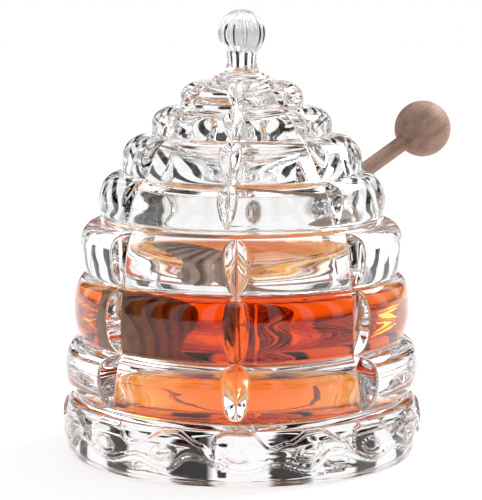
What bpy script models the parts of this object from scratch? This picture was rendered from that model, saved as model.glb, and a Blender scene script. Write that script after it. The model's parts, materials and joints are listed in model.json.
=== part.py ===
import bpy
import bmesh
from math import atan2, cos, hypot, pi, radians, sin, tan
from mathutils import Matrix, Vector

mm = 0.001

# Gap between pieces that touch
seat_gap = 0.3 * mm

# Jar body, a stack of hoops on a base band
rim_height = 85.4 * mm
rim_radius = 50.8 * mm
rim_wall = 4.0 * mm
rim_band_height = 2.4 * mm
band_height = 22.0 * mm
band_top_radius = 58.9 * mm
band_bulge = 5.0 * mm
band_crest_share = 0.6
foot_spread = 3.1 * mm
foot_step_height = 1.6 * mm
foot_step = 0.7 * mm
groove_lean_shares = [0.0, 0.4, 0.55, 1.0]
groove_drop_shares = [0.0, 0.307, 0.689, 1.0]
hoop_bulges = [5.6 * mm, 5.7 * mm, 6.6 * mm]
hoop_crest_share = 0.51
hoop_power = 0.8

# Jar cavity
cavity_draft = 0.9 * mm
floor_thickness = 14.0 * mm
bowl_radius_share = 0.3

# Lid dome
lid_dome_height = 47.3 * mm
lid_groove_radius_shares = [0.225, 0.422, 0.625, 0.836, 1.0]
lid_groove_height_shares = [1.0, 0.81, 0.594, 0.307, 0.0]
lid_overhang = 0.5 * mm
lid_crest_share = 0.22
crown_thickness = 8.0 * mm
dome_power = 1.6
dome_root = 0.78

# Lid locating ring
ring_clearance = 0.5 * mm
ring_wall = 2.2 * mm
ring_depth = 2.8 * mm

# Collar, neck and knob
collar_step_shares = [0.86, 0.7, 0.54]
collar_step_height = 0.9 * mm
neck_radius = 5.7 * mm
neck_height = 5.4 * mm
knob_radius = 8.5 * mm
knob_ribs = 16
knob_rib_depth = 0.7 * mm

# Cuts, one leaf where each crosses a hoop
cut_count = 8
jar_turn_deg = -2.0
lid_turn_deg = -5.6
cut_half_deg = 36.0
cut_tip_rise = 0.15 * mm

# Relief on the base band. The ribbon's places are shares of a repeat of two motifs.
motif_count = 16
motif_turn_deg = -1.8
ribbon_radius = 1.15 * mm
ribbon_place_shares = [0.0, 0.09, 0.18, 0.36, 0.55, 0.68, 0.79, 0.88]
ribbon_height_shares = [0.3, 0.41, 0.53, 0.42, 0.3, 0.35, 0.41, 0.33]
leaf_length = 10.6 * mm
leaf_width = 5.0 * mm
leaf_rise = 1.1 * mm
leaf_height_share = 0.53
leaf_tilt_deg = 14.0

# Honey
honey_fill_share = 0.6443

# Dipper
handle_radius = 3.05 * mm
handle_heading_deg = 32.0
handle_slope_deg = 28.5
handle_reach = 45.9 * mm
notch_turn_deg = 132.0
ball_radius = 10.75 * mm
socket_depth = 9.0 * mm
head_length = 33.0 * mm
head_radius = 11.6 * mm
head_end_radius_share = 0.62
head_fullness = 0.75
head_discs = 8
groove_share = 0.42
groove_depth = 4.6 * mm
disc_edge = 0.45 * mm

# Notch in the lid's rim
notch_side_clearance = 1.4 * mm
notch_top_clearance = 1.0 * mm

# How far cutters run past what they cut, and how fine round shapes are
overrun = 2.0 * mm
screw_merge = 0.01 * mm
bar_depth_share = 0.45
smooth_deg = 35.0
knob_rows = 8
dome_points = 7
arch_segments = 24
handle_segments = 16
halvings = 40
jar_steps = 40
lid_steps = 40
honey_steps = 32
head_steps = 20
upper_arc_points = 4
lower_arc_points = 3
lid_lower_points = 2
lid_rim_points = 1
leaf_segments = 8
leaf_rows = 6

# Worked out from the sizes above. The front of the jar faces -Y.
front_deg = -90.0
foot_radius = band_top_radius + foot_spread
jar_cut_deg = front_deg + jar_turn_deg
lid_cut_deg = front_deg + lid_turn_deg
mouth_radius = rim_radius - rim_wall
bowl_top_radius = mouth_radius - cavity_draft
bowl_radius = bowl_top_radius * bowl_radius_share
bowl_top = floor_thickness + bowl_radius
honey_height = floor_thickness + (rim_height - floor_thickness) * honey_fill_share
lid_seat = rim_height + seat_gap
ring_outer_radius = mouth_radius - ring_clearance
ring_inner_radius = ring_outer_radius - ring_wall
collar_top = lid_seat + lid_dome_height + collar_step_height * len(collar_step_shares)
knob_centre = collar_top + neck_height + knob_radius
notch_deg = front_deg + notch_turn_deg
heading = radians(handle_heading_deg)
slope = radians(handle_slope_deg)
crossing = Vector((
    mouth_radius * cos(radians(notch_deg)),
    mouth_radius * sin(radians(notch_deg)),
    rim_height + seat_gap + handle_radius / cos(slope),
))
dipper_turn = Matrix.Rotation(heading, 4, "Z") @ Matrix.Rotation(pi / 2 - slope, 4, "Y")
dipper_frame = Matrix.Translation(crossing) @ dipper_turn


def clear_scene():
    for obj in list(bpy.data.objects):
        bpy.data.objects.remove(obj, do_unlink=True)


def new_collection(name, hidden=False):
    collection = bpy.data.collections.new(name)
    collection.hide_render = hidden
    bpy.context.scene.collection.children.link(collection)
    return collection


def glass(name, color, roughness, ior):
    material = bpy.data.materials.new(name)
    material.use_nodes = True
    shader = material.node_tree.nodes["Principled BSDF"]
    shader.inputs["Base Color"].default_value = (*color, 1.0)
    shader.inputs["Roughness"].default_value = roughness
    shader.inputs["Transmission Weight"].default_value = 1.0
    shader.inputs["IOR"].default_value = ior
    return material


def wood(name, color, roughness):
    material = bpy.data.materials.new(name)
    material.use_nodes = True
    shader = material.node_tree.nodes["Principled BSDF"]
    shader.inputs["Base Color"].default_value = (*color, 1.0)
    shader.inputs["Roughness"].default_value = roughness
    return material


def add_object(name, mesh, collection, material=None):
    obj = bpy.data.objects.new(name, mesh)
    collection.objects.link(obj)
    if material:
        mesh.materials.append(material)
    return obj


def add_cutter(name, mesh):
    cutter = add_object(name, mesh, cutters)
    cutter.hide_render = True
    cutter.display_type = "WIRE"
    return cutter


def boolean(obj, other, operation):
    modifier = obj.modifiers.new(f"{operation.lower()}_{other.name}", "BOOLEAN")
    modifier.operation = operation
    modifier.solver = "EXACT"
    modifier.use_self = operation == "UNION"
    modifier.object = other


def smooth(mesh):
    mesh.shade_smooth()
    mesh.set_sharp_from_angle(angle=radians(smooth_deg))
    return mesh


def mesh_from(shape, name):
    mesh = bpy.data.meshes.new(name)
    shape.to_mesh(mesh)
    shape.free()
    return smooth(mesh)


def turned_mesh(name, outline, steps, turn_deg=0.0):
    """A solid turned about Z, from an outline of (radius, height) that runs down its outer side."""
    turn = radians(turn_deg)
    points = [(r * cos(turn), r * sin(turn), z) for r, z in outline]
    edges = []
    for i, (radius, _) in enumerate(outline):
        following = (i + 1) % len(outline)
        if radius > 0 or outline[following][0] > 0:
            edges.append((i, following))
    profile = bpy.data.meshes.new(name + "_profile")
    profile.from_pydata(points, edges, [])
    guide = bpy.data.objects.new(name + "_profile", profile)
    cutters.objects.link(guide)
    screw = guide.modifiers.new("turn", "SCREW")
    screw.steps = steps
    screw.render_steps = steps
    screw.use_merge_vertices = True
    screw.merge_threshold = screw_merge
    mesh = evaluated_mesh(guide, name)
    bpy.data.objects.remove(guide, do_unlink=True)
    return smooth(mesh)


def evaluated_mesh(obj, name):
    graph = bpy.context.evaluated_depsgraph_get()
    mesh = bpy.data.meshes.new_from_object(obj.evaluated_get(graph))
    mesh.name = name
    return mesh


def between(low, high, share):
    return low + (high - low) * share


def quarter_turns(points):
    return [pi / 2 * i / points for i in range(1, points + 1)]


def shoulder_arc(groove, crest, points, power=1.0):
    """From a groove down and out to a crest, without its first point: an ellipse, fuller below power 1."""
    return [
        (
            between(groove[0], crest[0], sin(turn) ** power),
            between(crest[1], groove[1], max(cos(turn), 0.0) ** power),
        )
        for turn in quarter_turns(points)
    ]


def belly_arc(crest, groove, points, power=1.0):
    """From a crest down and in to a groove, without its first point: an ellipse, fuller below power 1."""
    return [
        (
            between(groove[0], crest[0], max(cos(turn), 0.0) ** power),
            between(crest[1], groove[1], sin(turn) ** power),
        )
        for turn in quarter_turns(points)
    ]


def hoop(top, bottom, crest_radius, crest_share, lower_points, power=1.0):
    """One rounded hoop from the groove above to the groove below, without its first point."""
    crest = (crest_radius, between(bottom[1], top[1], crest_share))
    upper = shoulder_arc(top, crest, upper_arc_points, power)
    return upper + belly_arc(crest, bottom, lower_points, power)


def jar_grooves():
    """The (radius, height) of each groove between hoops, from the rim down to the base band."""
    top = rim_height - rim_band_height
    return [
        (between(rim_radius, band_top_radius, lean), between(top, band_height, drop))
        for lean, drop in zip(groove_lean_shares, groove_drop_shares)
    ]


def lid_grooves():
    """The (radius, height) of each groove of the lid, from the collar down to the rim."""
    return [
        (rim_radius * across, lid_seat + lid_dome_height * up)
        for across, up in zip(lid_groove_radius_shares, lid_groove_height_shares)
    ]


def band_profile():
    """The base band's outer side, from the groove above it down to the foot."""
    crest = (band_top_radius + band_bulge, band_height * band_crest_share)
    foot = (foot_radius + foot_step, foot_step_height)
    upper = shoulder_arc((band_top_radius, band_height), crest, upper_arc_points)
    lower = belly_arc(crest, foot, lower_arc_points)
    return upper + lower + [(foot_radius, foot_step_height), (foot_radius, 0.0)]


def band_radius_at(height):
    """The band's outer radius at a height, on its upper or lower curve."""
    crest_height = band_height * band_crest_share
    crest_radius = band_top_radius + band_bulge
    if height > crest_height:
        low, reach = band_top_radius, band_height - crest_height
    else:
        low, reach = foot_radius + foot_step, crest_height - foot_step_height
    away = min(abs(height - crest_height) / reach, 1.0)
    return between(low, crest_radius, (1 - away * away) ** 0.5)


def cavity_radius_at(height, gap=0.0):
    """The cavity's radius at a height: straight with a slight draft, then a round bowl."""
    if height >= bowl_top:
        rise = (height - bowl_top) / (rim_height - bowl_top)
        return bowl_top_radius + cavity_draft * rise - gap
    down = (bowl_top - height) / (bowl_radius - gap)
    return bowl_top_radius - bowl_radius + (bowl_radius - gap) * max(1 - down * down, 0.0) ** 0.5


def bowl_arc(points, gap=0.0):
    """The bowl's curve from its top down to the flat floor, drawn in by a gap."""
    radius = bowl_radius - gap
    centre = bowl_top_radius - bowl_radius
    return [
        (centre + radius * cos(pi / 2 * i / points), bowl_top - radius * sin(pi / 2 * i / points))
        for i in range(points + 1)
    ]


def leaf_cuts(owner, grooves, first_deg):
    """Diamond bars that cut a pointed leaf where each meridian crosses a hoop, one cutter for each hoop."""
    for number, ((r_top, z_top), (r_low, z_low)) in enumerate(zip(grooves[:-1], grooves[1:]), 1):
        run = Vector((r_low - r_top, 0.0, z_low - z_top))
        outward = Vector((-run.z, 0.0, run.x)).normalized()
        depth = run.length * bar_depth_share
        middle = Vector(((r_top + r_low) / 2, 0.0, (z_top + z_low) / 2))
        frame = Matrix((outward, Vector((0.0, 1.0, 0.0)), -run.normalized())).transposed().to_4x4()
        widen = Matrix.Scale(tan(radians(cut_half_deg)), 4, Vector((0.0, 1.0, 0.0)))
        seat = Matrix.Translation(middle + outward * (depth + cut_tip_rise)) @ frame @ widen
        bars = bmesh.new()
        for i in range(cut_count):
            length = run.length - cut_tip_rise
            made = bmesh.ops.create_cone(
                bars, cap_ends=True, segments=4, radius1=depth, radius2=depth, depth=length
            )
            turn = Matrix.Rotation(radians(first_deg + 360.0 * i / cut_count), 4, "Z")
            bmesh.ops.transform(bars, matrix=turn @ seat, verts=made["verts"])
        bmesh.ops.recalc_face_normals(bars, faces=bars.faces)
        cutter = add_cutter(f"{owner.name}_leaves_{number}", mesh_from(bars, "leaves"))
        boolean(owner, cutter, "DIFFERENCE")


def ribbon_mesh():
    """The raised ribbon, half sunk in the glass: it dips under each leaf and rises after it."""
    curve = bpy.data.curves.new("ribbon", "CURVE")
    curve.dimensions = "3D"
    curve.bevel_depth = ribbon_radius
    curve.bevel_resolution = 0
    spline = curve.splines.new("POLY")
    steps = len(ribbon_place_shares)
    repeats = motif_count // 2
    spline.points.add(repeats * steps - 1)
    for i in range(repeats * steps):
        turn = (i // steps + ribbon_place_shares[i % steps]) / repeats
        angle = radians(front_deg + motif_turn_deg + 360.0 / motif_count) + 2 * pi * turn
        height = band_height * ribbon_height_shares[i % steps]
        radius = band_radius_at(height)
        spline.points[i].co = (radius * cos(angle), radius * sin(angle), height, 1.0)
    spline.use_cyclic_u = True
    guide = bpy.data.objects.new("ribbon_guide", curve)
    cutters.objects.link(guide)
    mesh = evaluated_mesh(guide, "ribbon")
    bpy.data.objects.remove(guide, do_unlink=True)
    return mesh


def leaves_mesh():
    """The raised almond leaves, one above each valley of the ribbon, tilted one way and the other."""
    leaves = bmesh.new()
    height = band_height * leaf_height_share
    for i in range(motif_count):
        made = bmesh.ops.create_uvsphere(leaves, u_segments=leaf_segments, v_segments=leaf_rows, radius=1.0)
        size = Matrix.Diagonal((leaf_length / 2, leaf_width / 2, leaf_rise, 1.0))
        lean = Matrix.Rotation(radians(leaf_tilt_deg if i % 2 else -leaf_tilt_deg), 4, "Z")
        stand = Matrix.Rotation(pi / 2, 4, "Z") @ Matrix.Rotation(pi / 2, 4, "X")
        out = Matrix.Translation((band_radius_at(height), 0.0, height))
        turn = Matrix.Rotation(radians(front_deg + motif_turn_deg + 360.0 * i / motif_count), 4, "Z")
        bmesh.ops.transform(leaves, matrix=turn @ out @ stand @ lean @ size, verts=made["verts"])
    return mesh_from(leaves, "almonds")


def make_jar():
    grooves = jar_grooves()
    outline = [(rim_radius, rim_height), grooves[0]]
    for top, bottom, bulge in zip(grooves[:-1], grooves[1:], hoop_bulges):
        crest_radius = (top[0] + bottom[0]) / 2 + bulge
        outline += hoop(top, bottom, crest_radius, hoop_crest_share, lower_arc_points, hoop_power)
    outline += band_profile()
    outline += [(0.0, 0.0), (0.0, floor_thickness)]
    outline += bowl_arc(upper_arc_points)[::-1] + [(mouth_radius, rim_height)]
    mesh = turned_mesh("jar", outline, jar_steps, jar_cut_deg + 180.0 / jar_steps)
    jar = add_object("jar", mesh, parts, crystal)
    boolean(jar, add_cutter("ribbon", ribbon_mesh()), "UNION")
    boolean(jar, add_cutter("almonds", leaves_mesh()), "UNION")
    leaf_cuts(jar, grooves, jar_cut_deg)
    return jar


def dome_arc(points):
    """The lid's inner side, from its rim up to the crown."""
    height = lid_dome_height - crown_thickness
    found = []
    for i in range(points):
        up = sin(pi / 2 * i / points)
        found.append((ring_inner_radius * (1 - up**dome_power) ** dome_root, lid_seat + height * up))
    return found + [(0.0, lid_seat + height)]


def collar(top_groove):
    """The stepped collar and the neck above it, from inside the knob down to the first groove."""
    steps = [
        (top_groove[0] * share, top_groove[1] + collar_step_height * number)
        for number, share in enumerate(collar_step_shares, 1)
    ]
    waist = (neck_radius, (steps[-1][1] + knob_centre) / 2)
    outline = [(0.0, knob_centre), (neck_radius, knob_centre), waist, steps[-1]]
    for upper, lower in zip(steps[::-1], steps[-2::-1]):
        outline += [(lower[0], upper[1]), lower]
    return outline + [(top_groove[0], steps[0][1])]


def knob_mesh():
    """A ball with upright ribs: every other meridian is drawn in."""
    ball = bmesh.new()
    bmesh.ops.create_uvsphere(ball, u_segments=2 * knob_ribs, v_segments=knob_rows, radius=knob_radius)
    for vert in ball.verts:
        column = round(atan2(vert.co.y, vert.co.x) / (pi / knob_ribs))
        if column % 2:
            vert.co.xy *= 1 - knob_rib_depth / knob_radius
    bmesh.ops.translate(ball, vec=(0.0, 0.0, knob_centre), verts=ball.verts)
    return mesh_from(ball, "knob")


def make_lid():
    grooves = lid_grooves()
    outline = collar(grooves[0])
    lower_points = [lid_lower_points] * (len(grooves) - 2) + [lid_rim_points]
    for top, bottom, points in zip(grooves[:-1], grooves[1:], lower_points):
        outline += hoop(top, bottom, bottom[0] + lid_overhang, lid_crest_share, points)
    outline += [
        (ring_outer_radius, lid_seat),
        (ring_outer_radius, lid_seat - ring_depth),
        (ring_inner_radius, lid_seat - ring_depth),
    ]
    outline += dome_arc(dome_points)
    mesh = turned_mesh("lid", outline, lid_steps, lid_cut_deg + 180.0 / lid_steps)
    lid = add_object("lid", mesh, parts, crystal)
    boolean(lid, add_cutter("knob", knob_mesh()), "UNION")
    leaf_cuts(lid, grooves, lid_cut_deg)
    cut_notch(lid)
    return lid


def cut_notch(lid):
    """An arched slot, open below, that lets the lid down over the handle."""
    half_width = handle_radius + notch_side_clearance
    exit_run = (rim_radius + lid_overhang - mouth_radius) / cos(radians(notch_deg - handle_heading_deg))
    handle_top = crossing.z + exit_run * tan(slope) + handle_radius / cos(slope)
    arch_height = handle_top + notch_top_clearance - half_width
    bottom = lid_seat - ring_depth - overrun
    length = rim_radius
    along = Vector((cos(heading), sin(heading), 0.0))
    centre = Vector((crossing.x, crossing.y, 0.0))
    turn = Matrix.Rotation(heading, 4, "Z")

    arch = bmesh.new()
    bmesh.ops.create_cone(
        arch, cap_ends=True, segments=arch_segments, radius1=half_width, radius2=half_width, depth=length,
        matrix=turn @ Matrix.Rotation(pi / 2, 4, "Y"),
    )
    bmesh.ops.translate(arch, vec=centre + Vector((0.0, 0.0, arch_height)), verts=arch.verts)
    boolean(lid, add_cutter("notch_arch", mesh_from(arch, "notch_arch")), "DIFFERENCE")

    slot = bmesh.new()
    size = Matrix.Diagonal((length, 2 * half_width, arch_height - bottom, 1.0))
    bmesh.ops.create_cube(slot, size=1.0, matrix=turn @ size)
    bmesh.ops.translate(slot, vec=centre + Vector((0.0, 0.0, (arch_height + bottom) / 2)), verts=slot.verts)
    boolean(lid, add_cutter("notch_slot", mesh_from(slot, "notch_slot")), "DIFFERENCE")


def room_in_cavity(point):
    """The distance from a point to the cavity's wall or bowl."""
    radius = hypot(point.x, point.y)
    centre = bowl_top_radius - bowl_radius
    if point.z >= bowl_top:
        return cavity_radius_at(point.z) - radius
    if radius <= centre:
        return point.z - floor_thickness
    return bowl_radius - hypot(radius - centre, bowl_top - point.z)


def head_radius_at(share):
    """The head's outer radius from its shoulder, at share 0, to its tip, at share 1."""
    end = head_radius * head_end_radius_share
    return end + (head_radius - end) * sin(pi * share) ** head_fullness


def tip_distance():
    """How far down the handle from the rim the head's tip lies when it rests on the bowl."""
    near, far = head_length, 2 * mouth_radius
    for _ in range(halvings):
        middle = (near + far) / 2
        if tip_room(middle) > seat_gap:
            near = middle
        else:
            far = middle
    return near


def tip_room(distance):
    """The least room round the head when its tip lies this far down the axis."""
    room = []
    for row in range(head_discs + 1):
        share = row / head_discs
        along = distance - head_length * (1 - share)
        radius = head_radius_at(share)
        for i in range(head_steps):
            angle = 2 * pi * i / head_steps
            local = Vector((radius * cos(angle), radius * sin(angle), -along))
            room.append(room_in_cavity(dipper_frame @ local))
    return min(room)


def disc_ends(disc):
    """Where a disc of the head starts and ends, as shares of the head's length."""
    start = disc + (groove_share / 2 if disc > 0 else 0.0)
    end = disc + 1 - (groove_share / 2 if disc < head_discs - 1 else 0.0)
    return start / head_discs, end / head_discs


def head_outline():
    """The grooved head from its shoulder down to its tip, in the handle's frame."""
    outline = [(0.0, shoulder)]
    for disc in range(head_discs):
        top, low = disc_ends(disc)
        r_top, r_low = head_radius_at(top), head_radius_at(low)
        z_top, z_low = shoulder - head_length * top, shoulder - head_length * low
        outline += [(r_top - disc_edge, z_top), (r_top, z_top - disc_edge)]
        outline += [(r_low, z_low + disc_edge), (r_low - disc_edge, z_low)]
        if disc < head_discs - 1:
            core = head_radius_at((disc + 1) / head_discs) - groove_depth
            next_top, _ = disc_ends(disc + 1)
            outline += [(core, z_low), (core, shoulder - head_length * next_top)]
    return outline + [(0.0, shoulder - head_length)]


def head_envelope(gap):
    """The head without its grooves, a gap larger all round."""
    shares = [share for disc in range(head_discs) for share in disc_ends(disc)]
    outline = [(head_radius_at(share) + gap, shoulder - head_length * share) for share in shares]
    top, bottom = shoulder + gap, shoulder - head_length - gap
    ends = [(outline[0][0], top), (outline[-1][0], bottom)]
    return [(0.0, top), ends[0]] + outline[1:-1] + [ends[1], (0.0, bottom)]


def rod_mesh(name, radius, bottom, top, segments):
    rod = bmesh.new()
    bmesh.ops.create_cone(
        rod, cap_ends=True, segments=segments, radius1=radius, radius2=radius, depth=top - bottom
    )
    bmesh.ops.translate(rod, vec=(0.0, 0.0, (top + bottom) / 2), verts=rod.verts)
    return mesh_from(rod, name)


def on_dipper(obj):
    obj.parent = dipper_axis
    return obj


def make_dipper():
    turned_head = turned_mesh("dipper_head", head_outline(), head_steps)
    head = on_dipper(add_object("dipper_head", turned_head, parts, beech))
    bore = handle_radius + seat_gap
    socket = rod_mesh("head_socket", bore, shoulder - socket_depth, shoulder + overrun, handle_segments)
    boolean(head, on_dipper(add_cutter("head_socket", socket)), "DIFFERENCE")

    top = handle_reach - ball_radius + socket_depth
    handle = rod_mesh(
        "dipper_handle", handle_radius, shoulder - socket_depth + seat_gap, top - seat_gap, handle_segments
    )
    on_dipper(add_object("dipper_handle", handle, parts, beech))

    ball = bmesh.new()
    bmesh.ops.create_uvsphere(ball, u_segments=head_steps, v_segments=head_steps // 2, radius=ball_radius)
    bmesh.ops.translate(ball, vec=(0.0, 0.0, handle_reach), verts=ball.verts)
    knob = on_dipper(add_object("dipper_knob", mesh_from(ball, "dipper_knob"), parts, beech))
    hole = rod_mesh("ball_socket", bore, handle_reach - ball_radius - overrun, top, handle_segments)
    boolean(knob, on_dipper(add_cutter("ball_socket", hole)), "DIFFERENCE")


def make_honey():
    """The honey fills the cavity up to its level and keeps clear of the dipper."""
    outline = [(0.0, honey_height), (cavity_radius_at(honey_height, seat_gap), honey_height)]
    outline += [point for point in bowl_arc(upper_arc_points, seat_gap) if point[1] < honey_height]
    outline += [(0.0, floor_thickness + seat_gap)]
    mesh = turned_mesh("honey", outline, honey_steps, jar_cut_deg + 180.0 / honey_steps)
    honey = add_object("honey", mesh, parts, amber)
    envelope = turned_mesh("head_room", head_envelope(seat_gap), head_steps)
    boolean(honey, on_dipper(add_cutter("head_room", envelope)), "DIFFERENCE")
    room = rod_mesh("handle_room", handle_radius + seat_gap, shoulder - socket_depth, 0.0, handle_segments)
    boolean(honey, on_dipper(add_cutter("handle_room", room)), "DIFFERENCE")


# The head hangs as far down the handle as the bowl lets it
shoulder = head_length - tip_distance()

clear_scene()
parts = new_collection("crystal_honey_jar")
cutters = new_collection("cutters", hidden=True)
crystal = glass("pressed_crystal", (0.97, 0.98, 0.98), 0.02, 1.53)
amber = glass("honey", (0.85, 0.3, 0.05), 0.05, 1.49)
beech = wood("beech", (0.55, 0.36, 0.25), 0.55)

dipper_axis = bpy.data.objects.new("dipper_axis", None)
dipper_axis.location = crossing
dipper_axis.rotation_euler = dipper_turn.to_euler()
parts.objects.link(dipper_axis)

make_jar()
make_lid()
make_dipper()
make_honey()
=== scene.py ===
import bpy
import json
import numpy as np
from math import asin, atan2, cos, hypot, pi, radians, sin, sqrt
from mathutils import Matrix, Vector


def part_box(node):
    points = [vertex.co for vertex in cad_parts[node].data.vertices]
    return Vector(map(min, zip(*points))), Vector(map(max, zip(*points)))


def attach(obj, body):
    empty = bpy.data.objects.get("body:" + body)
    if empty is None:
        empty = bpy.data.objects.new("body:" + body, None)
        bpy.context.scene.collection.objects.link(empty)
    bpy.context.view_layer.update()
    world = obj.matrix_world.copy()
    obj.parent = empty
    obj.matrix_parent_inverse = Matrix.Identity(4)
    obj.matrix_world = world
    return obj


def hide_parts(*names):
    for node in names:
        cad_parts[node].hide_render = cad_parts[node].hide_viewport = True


mm = 0.001
frontDeg = -90.0  # the jar's front faces -Y

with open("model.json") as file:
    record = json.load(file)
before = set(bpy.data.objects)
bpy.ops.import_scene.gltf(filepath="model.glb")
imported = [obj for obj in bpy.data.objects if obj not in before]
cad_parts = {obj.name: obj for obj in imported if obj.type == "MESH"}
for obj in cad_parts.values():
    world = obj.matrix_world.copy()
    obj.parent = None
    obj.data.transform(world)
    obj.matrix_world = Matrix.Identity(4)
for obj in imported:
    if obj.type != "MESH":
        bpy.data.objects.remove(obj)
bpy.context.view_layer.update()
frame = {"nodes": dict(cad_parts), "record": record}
record = frame["record"]
scene = bpy.context.scene
print("frame loaded")


# helpers for node trees and colours

def linear(hexColor):
    parts = [int(hexColor[i:i + 2], 16) / 255 for i in (1, 3, 5)]
    return [c / 12.92 if c <= 0.04045 else ((c + 0.055) / 1.055) ** 2.4 for c in parts] + [1.0]


def addNode(tree, kind, links=None, **settings):
    node = tree.nodes.new(kind)
    for key, value in settings.items():
        setattr(node, key, value)
    for socket, source in (links or {}).items():
        if isinstance(source, bpy.types.NodeSocket):
            tree.links.new(source, node.inputs[socket])
        else:
            node.inputs[socket].default_value = source
    return node


def newMaterial(name):
    material = bpy.data.materials.new(name)
    material.use_nodes = True
    tree = material.node_tree
    shader = tree.nodes["Principled BSDF"]
    return material, tree, shader


# camera: the photograph's view, a long lens a little above the jar

cameraValues = {
    "lens": 154.6,
    "place": (-0.28 * mm, -765.1 * mm, 182.1 * mm),
    "pitchDeg": 8.2,
}
cameraData = bpy.data.cameras.new("photoCamera")
cameraData.lens = cameraValues["lens"]
camera = bpy.data.objects.new("photoCamera", cameraData)
camera.location = cameraValues["place"]
camera.rotation_euler = (radians(90.0 - cameraValues["pitchDeg"]), 0.0, 0.0)
scene.collection.objects.link(camera)
scene.camera = camera


# materials

crystalValues = {"tint": "#FDFEFE", "ior": 1.54, "rippleMm": 9.0, "rippleHeightMm": 0.05}


def leadCrystal(name, mirrors):
    # pressed lead crystal, fire polished: water clear, bright, with the soft ripple that the mould leaves
    material, tree, shader = newMaterial(name)
    place = addNode(tree, "ShaderNodeTexCoord")
    ripple = addNode(tree, "ShaderNodeTexNoise", {
        "Vector": place.outputs["Object"], "Scale": 1 / (crystalValues["rippleMm"] * mm), "Detail": 1.0,
        "Roughness": 0.4,
    })
    bump = addNode(tree, "ShaderNodeBump", {
        "Height": ripple.outputs["Fac"], "Strength": 1.0, "Distance": crystalValues["rippleHeightMm"] * mm,
    })
    tree.links.new(bump.outputs["Normal"], shader.inputs["Normal"])
    shader.inputs["Base Color"].default_value = linear(crystalValues["tint"])
    shader.inputs["Transmission Weight"].default_value = 1.0
    shader.inputs["Roughness"].default_value = 0.0
    shader.inputs["IOR"].default_value = crystalValues["ior"]
    shader.inputs["Specular Tint"].default_value = linear(mirrors)
    return material


# honey against glass mirrors and bends next to nothing: no mirror on either surface where they meet, and one index
wetMirrors = "#000000"
honeyValues = {
    "ior": 1.54, "absorb": "#FBD81C", "density": 105.0, "waveMm": 14.0, "waveHeightMm": 0.05,
    "skin": 0.05 * mm, "meniscus": 1.1 * mm,
}


def clearHoney():
    # clear runny honey: yellow where it is thin, orange to red through the jar's width
    material, tree, shader = newMaterial("runnyHoney")
    place = addNode(tree, "ShaderNodeTexCoord")
    wave = addNode(tree, "ShaderNodeTexNoise", {
        "Vector": place.outputs["Object"], "Scale": 1 / (honeyValues["waveMm"] * mm), "Detail": 0.0,
    })
    bump = addNode(tree, "ShaderNodeBump", {
        "Height": wave.outputs["Fac"], "Strength": 1.0, "Distance": honeyValues["waveHeightMm"] * mm,
    })
    tree.links.new(bump.outputs["Normal"], shader.inputs["Normal"])
    shader.inputs["Base Color"].default_value = linear("#FFFFFF")
    shader.inputs["Transmission Weight"].default_value = 1.0
    shader.inputs["Roughness"].default_value = 0.0
    shader.inputs["IOR"].default_value = honeyValues["ior"]
    # its open top mirrors as any liquid does, its sides against the glass don't
    height = addNode(tree, "ShaderNodeSeparateXYZ", {0: place.outputs["Object"]}).outputs["Z"]
    openTop = addNode(tree, "ShaderNodeMapRange", {
        "Value": height, "From Min": honeyHigh.z - 0.6 * mm, "From Max": honeyHigh.z - 0.3 * mm,
    }).outputs[0]
    tint = addNode(tree, "ShaderNodeMix", {
        0: openTop, 6: linear(wetMirrors), 7: linear("#FFFFFF"),
    }, data_type="RGBA").outputs[2]
    tree.links.new(tint, shader.inputs["Specular Tint"])
    absorb = addNode(tree, "ShaderNodeVolumeAbsorption", {
        "Color": linear(honeyValues["absorb"]), "Density": honeyValues["density"],
    })
    tree.links.new(absorb.outputs["Volume"], tree.nodes["Material Output"].inputs["Volume"])
    return material


beechValues = {
    "pale": "#D3B09A", "mid": "#BE9580", "fleck": "#8F6654",
    "ringMm": 1.6, "fleckLongMm": 2.6, "fleckWideMm": 0.28,
}


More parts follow.
